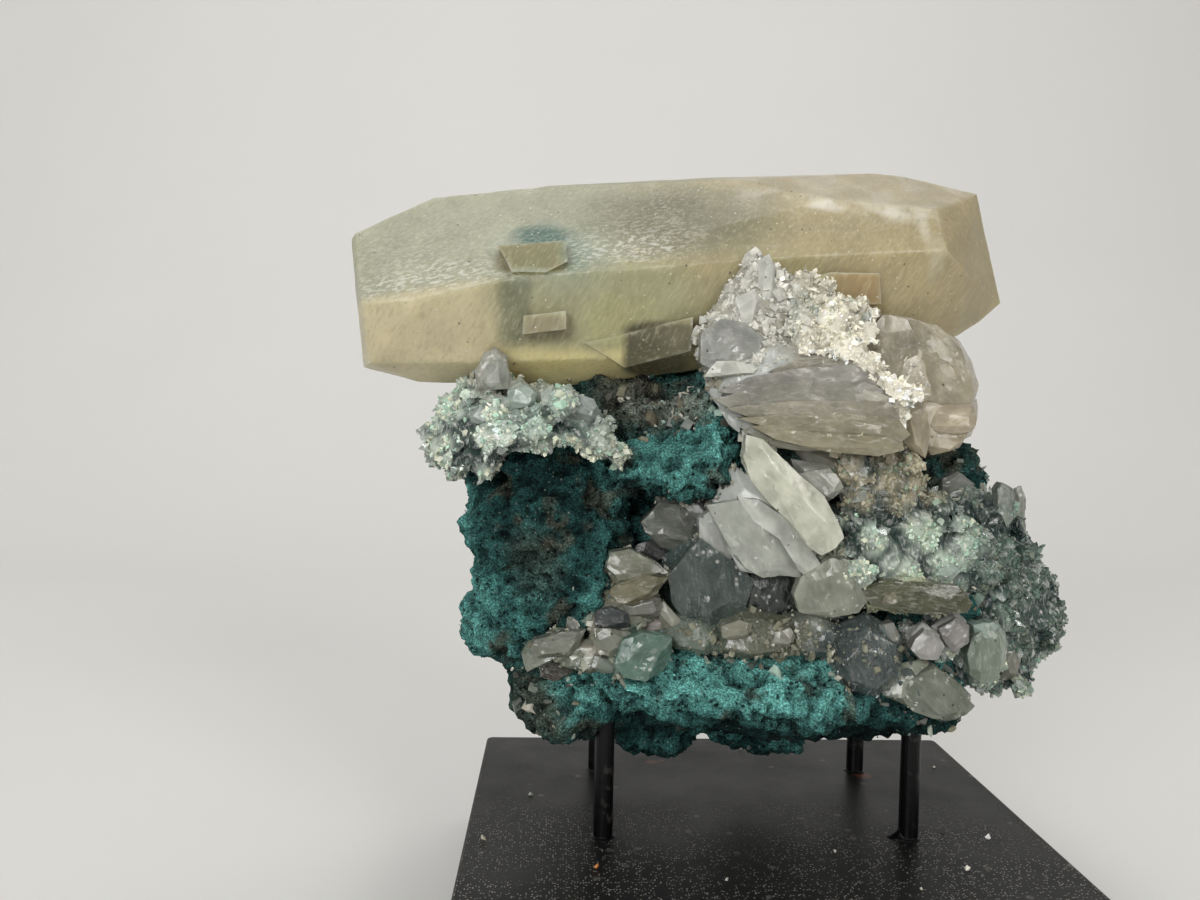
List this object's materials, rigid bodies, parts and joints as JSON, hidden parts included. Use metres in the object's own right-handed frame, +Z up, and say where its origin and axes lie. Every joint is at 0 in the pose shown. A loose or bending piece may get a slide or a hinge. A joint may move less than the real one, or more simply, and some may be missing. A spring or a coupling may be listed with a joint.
{
  "type": "calcite specimen on a pinned display base",
  "caption": "Long honey calcite crystal lying across a teal-crusted rock with quartz clusters, held up on slim pins above a black display base.",
  "frame": {"origin": "centre of the base plate's underside", "axes": "+Z up, -Y towards the show face with the calcite crystal across the top, +X to the viewer's right"},
  "size_m": [0.1318, 0.0762, 0.138],
  "materials": {
    "satin_black_base": "wood in satin black paint, lightly dusty",
    "black_pin": "black paint on thin rod",
    "teal_rock": "rough rock with a granular teal crust",
    "honey_calcite": "milky translucent honey calcite, satin faces",
    "grey_quartz": "translucent grey-beige crystal",
    "pale_quartz": "translucent pale crystal",
    "white_quartz": "white sugary crystal crust",
    "mint_quartz": "pale green sugary crystal crust",
    "smoky_quartz": "translucent smoky crystal",
    "beige_quartz": "translucent beige-green crystal",
    "frosted_quartz": "frosted pale mint crystal crust"
  },
  "bodies": {
    "root": {"base": "satin_black_base", "pin_front_left": "black_pin", "pin_front_right": "black_pin", "pin_back_left": "black_pin", "pin_back_right": "black_pin", "matrix": "teal_rock", "calcite_crystal": "honey_calcite", "fan_crystals": "grey_quartz", "blade_crystals": "pale_quartz", "white_druse": "white_quartz", "right_druse": "mint_quartz", "lower_crystals": "smoky_quartz", "left_lower_crystals": "beige_quartz", "top_left_druse": "frosted_quartz"}
  },
  "joints": []
}
